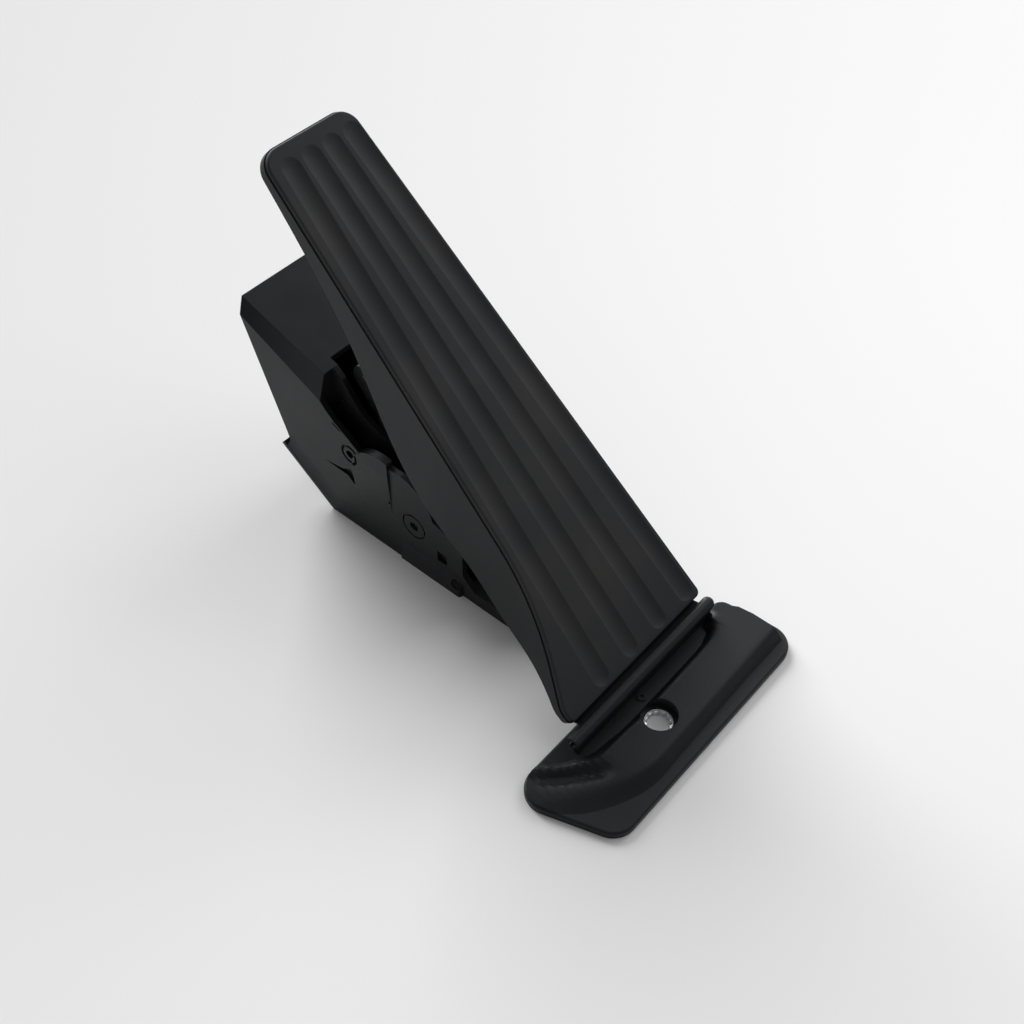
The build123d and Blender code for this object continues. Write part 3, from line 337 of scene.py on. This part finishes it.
def finish_of(name, dark, light, edge, rough, grain=GRAIN_SCALE, cloud_scale=CLOUD_SCALE, depth=GRAIN_DEPTH,
              radius=EDGE_RADIUS, metal=0.0, specular=0.5, tint=PLAIN_TINT, stain=None):
    """A procedural finish: clouded colour, graded roughness, grain, soft edges with a lighter edge colour
    that is partly a painted highlight, and stains if asked for.
    """
    material = bpy.data.materials.new(name)
    material.use_nodes = True
    tree = material.node_tree
    shader = tree.nodes["Principled BSDF"]
    shader.inputs["Metallic"].default_value = metal
    shader.inputs["Specular IOR Level"].default_value = specular
    shader.inputs["Specular Tint"].default_value = (*tint, 1.0)
    grained = add(tree, "ShaderNodeGroup", node_tree=grain_group)
    grained.inputs["Scale"].default_value = grain
    grained.inputs["Cloud scale"].default_value = cloud_scale
    softened = add(tree, "ShaderNodeGroup", node_tree=edge_group)
    softened.inputs["Radius"].default_value = radius
    colour = clouded(tree, grained.outputs["Cloud"], dark, light)
    # The lighter edge colour is partly wear and partly a painted highlight along the edges.
    colour = laid_over(tree, colour, edge, softened.outputs["Edge"])
    if stain:
        patches = add(tree, "ShaderNodeGroup", node_tree=grain_group)
        patches.inputs["Cloud scale"].default_value = STAIN_SCALE
        soiled = graded(tree, patches.outputs["Cloud"], *STAIN_RANGE, 0.0, STAIN_MOST)
        colour = laid_over(tree, colour, stain, soiled)
    roughness = graded(tree, grained.outputs["Cloud"], *CLOUD_RANGE, *rough)
    normal = pressed_in(tree, grained.outputs["Height"], depth, softened.outputs["Normal"])
    join(tree, colour, shader.inputs["Base Color"])
    join(tree, roughness, shader.inputs["Roughness"])
    join(tree, normal, shader.inputs["Normal"])
    return material


# %% [markdown]
# The plastics come first. The housing and the pedal are nearly the same black, the tread is a softer
# compound with a duller face and a few brownish stains, and the parts inside are a plainer dark grey.
# Black plastic reflects a little blue, which is the cool tint. Natural acetal is the creamy white of the
# bearings.

# %% Plastics and rubber
COOL = (0.87, 0.91, 1.0)
BLUE_SHARE = 1.04
BROWNISH = (0.024, 0.021, 0.017)


def grey(value):
    """A grey with a little more blue, as black plastics have."""
    return (value, value * (1 + BLUE_SHARE) / 2, value * BLUE_SHARE)


finishes = {
    "housing_plastic": finish_of(
        "housing_black", grey(0.006), grey(0.010), grey(0.020), (0.44, 0.52),
        radius=0.2 * MM, specular=0.27, tint=COOL,
    ),
    "pedal_plastic": finish_of(
        "pedal_black", grey(0.005), grey(0.008), grey(0.016), (0.44, 0.52),
        radius=0.4 * MM, specular=0.25, tint=COOL,
    ),
    "tread": finish_of(
        "tread_black", grey(0.009), grey(0.015), grey(0.024), (0.60, 0.72),
        grain=2200.0, depth=0.04 * MM, radius=0.4 * MM, specular=0.42, tint=COOL, stain=BROWNISH,
    ),
    "inner_plastic": finish_of(
        "inner_black", grey(0.020), grey(0.028), grey(0.045), (0.42, 0.50), specular=0.27
    ),
    "bearing_plastic": finish_of(
        "acetal", (0.58, 0.56, 0.50), (0.64, 0.62, 0.56), (0.7, 0.68, 0.62), (0.30, 0.38)
    ),
    "stop_rubber": finish_of("stop_rubber", grey(0.018), grey(0.026), grey(0.03), (0.7, 0.8)),
    "chip": finish_of("chip_black", grey(0.025), grey(0.035), grey(0.05), (0.4, 0.5)),
    "board": finish_of(
        "board_green", (0.012, 0.11, 0.045), (0.02, 0.15, 0.06), (0.2, 0.25, 0.12), (0.25, 0.35)
    ),
}
print("plastics:", sorted(finishes))

# %% [markdown]
# Then the metals. Zinc plating is bright with a faint blotchy bloom, which a larger cloud scale gives.
# Spring wire is darker and the ferrite magnet is a dull dark grey. The two link pins sit deep in shade on
# the real pedal, so they take a steel that is darker still: that extra darkness is painted shade.

# %% Metals
finishes["zinc_steel"] = finish_of(
    "zinc_plate", (0.55, 0.56, 0.57), (0.72, 0.73, 0.74), (0.85, 0.85, 0.85), (0.22, 0.38),
    cloud_scale=260.0, metal=1.0,
)
finishes["spring_steel"] = finish_of(
    "spring_wire", (0.30, 0.30, 0.31), (0.40, 0.40, 0.41), (0.5, 0.5, 0.5), (0.30, 0.40), metal=1.0
)
finishes["magnet"] = finish_of(
    "ferrite", (0.10, 0.10, 0.11), (0.15, 0.15, 0.16), (0.2, 0.2, 0.2), (0.45, 0.6), metal=0.6
)
finishes["contact"] = finish_of(
    "tinned_brass", (0.62, 0.58, 0.48), (0.74, 0.7, 0.6), (0.85, 0.82, 0.75), (0.20, 0.30), metal=1.0
)
finishes["dark_steel"] = finish_of(
    "pin_steel_painted_shade", (0.06, 0.06, 0.062), (0.10, 0.10, 0.102), (0.18, 0.18, 0.18), (0.38, 0.50), metal=1.0
)
print("finishes:", len(finishes))

# %% [markdown]
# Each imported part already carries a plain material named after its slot, so the slot's name finds its
# finish.

# %% Finishes on the solid parts
for part in nodes.values():
    slot = part.data.materials[0].name.split(".")[0]
    part.data.materials[0] = finishes[slot]
# The link pins take the darker steel as painted shade, for the shade they sit in.
for name in ("upper_link_pin", "lower_link_pin"):
    nodes[name].data.materials[0] = finishes["dark_steel"]
print("finished nodes:", len(nodes))

# %% [markdown]
# ## Making pieces
#
# A new piece stands where the solids that it replaces stand, so its place and main sizes are read from
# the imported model. A copy of the node's mesh is merged, because it comes as loose triangles. Then each
# solid is the set of points that edges lead to from one point, and how far it reaches along each axis says
# where it is. That is rounded to the steps that the part was drawn in, because flat triangles fall a little
# short of a round form.


# %% Reach of the solids
def reach_in(node, digits=1):
    """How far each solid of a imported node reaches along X, Y and Z, as low and high in millimetres."""
    shaper = bmesh.new()
    shaper.from_mesh(nodes[node].data)
    bmesh.ops.remove_doubles(shaper, verts=shaper.verts[:], dist=TOUCHING)
    waiting = set(shaper.verts)
    solids = []
    while waiting:
        reached = [waiting.pop()]
        for vert in reached:
            near = waiting.intersection(edge.other_vert(vert) for edge in vert.link_edges)
            waiting -= near
            reached.extend(near)
        axes = zip(*(vert.co / MM for vert in reached))
        solids.append([(round(min(axis), digits), round(max(axis), digits)) for axis in axes])
    shaper.free()
    return sorted(solids)


def middle(reach):
    """Half way between the low and the high end."""
    return sum(reach) / 2


print("cover screws:", len(reach_in("cover_screws")), "contact blades:", len(reach_in("connector_pins")))

# %% [markdown]
# Three moves come back in the pieces below: a face is drawn out, a finished shape is repeated at several
# places, and at the end the mesh is stored, smoothed by angle, given its finish, and told which body it
# rides on. A piece that stands between two bodies is given none.


# %% Moves that come back
def corners_in(geometry):
    """The vertices among the geometry that an operator gives back."""
    return [item for item in geometry if isinstance(item, bmesh.types.BMVert)]


def drawn_out(shaper, face, way):
    """A face extruded and moved by a way. Its new corners come back."""
    corners = corners_in(bmesh.ops.extrude_face_region(shaper, geom=[face])["geom"])
    bmesh.ops.translate(shaper, verts=corners, vec=way)
    return corners


def repeated(shaper, ways):
    """The shape moved by the first way, with a copy of it moved by each other way."""
    shape = shaper.verts[:] + shaper.edges[:] + shaper.faces[:]
    for way in ways[1:]:
        copied = bmesh.ops.duplicate(shaper, geom=shape)["geom"]
        bmesh.ops.translate(shaper, verts=corners_in(copied), vec=way)
    bmesh.ops.translate(shaper, verts=corners_in(shape), vec=ways[0])


# %% Finishing a piece
def finished_piece(name, shaper, slot, body, angle=40.0):
    """An object from a bmesh, with its finish, its slot and, where one carries it, its body."""
    mesh = bpy.data.meshes.new(name)
    for face in shaper.faces:
        face.smooth = True
    for edge in shaper.edges:
        if len(edge.link_faces) == 2 and edge.calc_face_angle(0.0) > radians(angle):
            edge.smooth = False
    shaper.to_mesh(mesh)
    shaper.free()
    mesh.materials.append(finishes[slot])
    piece = in_scene(name, mesh)
    if body:
        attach(piece, body)
    print(name, "faces:", len(mesh.polygons))
    return piece


# %% [markdown]
# ## Return springs
#
# Two coil springs, one inside the other, push the lever back. A curve with a round section could make the
# wire, but a coil is a small ring carried round an axis while it climbs, so a spin of a ring with a rise
# for each step makes it as a mesh at once. The end turns are closed: there the rise is only one wire for
# each turn. The springs stand between the seat and the cap: their foot stays with the housing, their top
# turns with the lever, and the turns between share that out, so a spring is given no body to ride on.

# %% A coil spring
WIRE_SIDES, TURN_STEPS = 8, 20

spring_x, spring_y, spring_z = reach_in("outer_spring")[0]
SPRING_PLACE = (middle(spring_x), middle(spring_y))
SEAT_TOP, SPRING_TOP = spring_z
print("springs stand at", SPRING_PLACE, "from", SEAT_TOP, "to", SPRING_TOP)


def coil_spring(name, radius, wire, turns, low, high, node):
    """A round-wire spring with closed ends and an outer radius, standing on its place from low to high."""
    shaper = bmesh.new()
    circle = bmesh.ops.create_circle(shaper, segments=WIRE_SIDES, radius=wire / 2 * MM, cap_ends=False)
    ring = circle["verts"]
    bmesh.ops.rotate(shaper, verts=ring, cent=(0, 0, 0), matrix=Matrix.Rotation(pi / 2, 3, "X"))
    bmesh.ops.translate(shaper, verts=ring, vec=at(radius - wire / 2, 0.0, low + wire / 2))
    first = last = shaper.edges[:]
    open_rise = (high - low - 3.0 * wire) / (turns - 2)
    for count, rise in ((1, wire), (turns - 2, open_rise), (1, wire)):
        spun = bmesh.ops.spin(
            shaper, geom=last, cent=(0, 0, 0), axis=(0, 0, 1), angle=2 * pi * count,
            steps=TURN_STEPS * count, dvec=at(0.0, 0.0, rise / TURN_STEPS), use_merge=False,
        )
        last = [item for item in spun["geom_last"] if isinstance(item, bmesh.types.BMEdge)]
    for end in (first, last):
        bmesh.ops.edgenet_fill(shaper, edges=end)
    bmesh.ops.remove_doubles(shaper, verts=shaper.verts[:], dist=TOUCHING)
    bmesh.ops.recalc_face_normals(shaper, faces=shaper.faces[:])
    bmesh.ops.translate(shaper, verts=shaper.verts[:], vec=at(*SPRING_PLACE, 0.0))
    piece = finished_piece(name, shaper, "spring_steel", None)
    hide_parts(node)
    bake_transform(piece)


# %% The two springs
coil_spring("outer_coil", radius=8.4, wire=1.8, turns=6, low=SEAT_TOP, high=SPRING_TOP, node="outer_spring")
coil_spring("inner_coil", radius=5.0, wire=1.2, turns=8, low=SEAT_TOP, high=SPRING_TOP, node="inner_spring")

# %% [markdown]
# ## Cover screws
#
# Five pan-head screws hold the side cover. What makes a screw read as a screw is its drive, so each has a
# six-lobed recess. A Boolean modifier could cut one, but the operators keep the head's faces tidy: the top
# face is inset, its corners are drawn in to make the lobes, and it is then extruded downwards. An extrusion
# keeps the face that it starts from, which here stays over the recess. The head is shaped lying flat,
# turned to face the side, and repeated.

# %% Screws
HEAD_HEIGHT, HEAD_ROUND, HEAD_SIDES = 1.8, 0.6, 36
LOBE_OUT, LOBE_IN, LOBES, RECESS = 1.6, 1.15, 6, 1.1

screws = reach_in("cover_screws")
_, (head_side, other_side), _ = screws[0]
head_radius = (other_side - head_side) / 2
shaper = bmesh.new()
disc = bmesh.ops.create_circle(shaper, segments=HEAD_SIDES, radius=head_radius * MM, cap_ends=True)
raised = drawn_out(shaper, disc["verts"][0].link_faces[0], at(0.0, 0.0, HEAD_HEIGHT))
rim = [edge for edge in shaper.edges if all(vert in raised for vert in edge.verts)]
bmesh.ops.bevel(
    shaper, geom=rim, offset=HEAD_ROUND * MM, segments=4, profile=0.5, affect="EDGES", material=-1
)
top = max(shaper.faces, key=lambda face: face.calc_center_median().z)
bmesh.ops.inset_region(shaper, faces=[top], thickness=(head_radius - HEAD_ROUND - LOBE_OUT) * MM)
for number, vert in enumerate(top.verts):
    wave = (1 + cos(2 * pi * number * LOBES / HEAD_SIDES)) / 2
    vert.co.xy = vert.co.xy.normalized() * (LOBE_IN + (LOBE_OUT - LOBE_IN) * wave) * MM
drawn_out(shaper, top, at(0.0, 0.0, -RECESS))
bmesh.ops.rotate(shaper, verts=shaper.verts[:], cent=(0, 0, 0), matrix=Matrix.Rotation(pi / 2, 3, "Y"))
bmesh.ops.recalc_face_normals(shaper, faces=shaper.faces[:])
repeated(shaper, [at(across[1] - HEAD_HEIGHT, middle(along), middle(up)) for across, along, up in screws])
screw_heads = finished_piece("screw_heads", shaper, "zinc_steel", "base", angle=35.0)
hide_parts("cover_screws")

# %% [markdown]
# ## Contact blades
#
# Six tinned blades stand in the socket. Each is stamped square and its end is tapered, so that the plug
# finds it. A cube is square already, so one blade is shaped from it by breaking its long edges, drawing
# out its end face and making the new one smaller. The face at the start of the taper stays inside. The
# blade is then repeated.

# %% Blades
BLADE_BREAK, TAPER, TIP_SHARE = 0.08, 0.9, 0.45

blades = reach_in("connector_pins", digits=2)
(blade_start, blade_end), blade_y, blade_z = blades[0]
blade_side = blade_z[1] - blade_z[0]
straight_end = blade_end - TAPER
blade_place = at((blade_start + straight_end) / 2, middle(blade_y), middle(blade_z))
shaper = bmesh.new()
blade = bmesh.ops.create_cube(shaper, size=1.0)["verts"]
bmesh.ops.scale(shaper, verts=blade, vec=at(straight_end - blade_start, blade_side, blade_side))
bmesh.ops.translate(shaper, verts=blade, vec=blade_place)
long_edges = [edge for edge in shaper.edges if edge.calc_length() > 2 * blade_side * MM]
bmesh.ops.bevel(
    shaper, geom=long_edges, offset=BLADE_BREAK * MM, segments=2, profile=0.5, affect="EDGES", material=-1
)
tip = max(shaper.faces, key=lambda face: face.calc_center_median().x)
point = drawn_out(shaper, tip, at(TAPER, 0.0, 0.0))
about_its_axis = Matrix.Translation(-blade_place)
bmesh.ops.scale(shaper, verts=point, vec=(1.0, TIP_SHARE, TIP_SHARE), space=about_its_axis)
repeated(shaper, [at(0.0, middle(along) - middle(blade_y), 0.0) for _, along, _ in blades])
bmesh.ops.recalc_face_normals(shaper, faces=shaper.faces[:])
contact_blades = finished_piece("contact_blades", shaper, "contact", "base", angle=30.0)
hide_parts("connector_pins")

# %% [markdown]
# ## Bush
#
# The steel bush in the foot takes the load of the bolt. Inside its bright rim lies a lower ring with small
# notches in it. It could be built up from circles, but one spin of its outline round the bolt's axis makes
# the rim, the chamfer and the step together. Then two points in every five along the bore are pushed out,
# which makes the notches.

# %% Outline of the bush
BUSH_BORE = 4.5
CHAMFER, RIM_WIDTH, STEP_DOWN, STEP_DRAFT, RING_SLOPE = 0.3, 0.65, 0.5, 0.05, 0.15

(_, rim_out), _, (bush_foot, bush_top) = reach_in("foot_bush")[0]
rim_in = rim_out - RIM_WIDTH
ring_top = bush_top - STEP_DOWN
bush_outline = [
    (rim_out, bush_foot), (rim_out, bush_top - CHAMFER), (rim_out - CHAMFER, bush_top), (rim_in, bush_top),
    (rim_in - STEP_DRAFT, ring_top), (BUSH_BORE, ring_top - RING_SLOPE), (BUSH_BORE, bush_foot),
]
print("the bush is", rim_out, "mm in radius and", bush_top - bush_foot, "mm high")

# %% Bush
BUSH_SIDES, NOTCH_EVERY, NOTCH_WIDE, NOTCH_DEEP = 60, 5, 2, 0.4

shaper = bmesh.new()
outline = [shaper.verts.new(at(radius, 0.0, height)) for radius, height in bush_outline]
sides = [shaper.edges.new((outline[number - 1], corner)) for number, corner in enumerate(outline)]
bmesh.ops.spin(
    shaper, geom=outline + sides, cent=(0, 0, 0), axis=(0, 0, 1), angle=2 * pi, steps=BUSH_SIDES,
    use_merge=True,
)
for vert in shaper.verts:
    if abs(hypot(vert.co.x, vert.co.y) - BUSH_BORE * MM) < TOUCHING:
        side = round(atan2(vert.co.y, vert.co.x) / (2 * pi) * BUSH_SIDES)
        if side % NOTCH_EVERY < NOTCH_WIDE:
            vert.co.xy *= (BUSH_BORE + NOTCH_DEEP) / BUSH_BORE
bmesh.ops.recalc_face_normals(shaper, faces=shaper.faces[:])
notched_bush = finished_piece("notched_bush", shaper, "zinc_steel", "base", angle=20.0)
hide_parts("foot_bush")
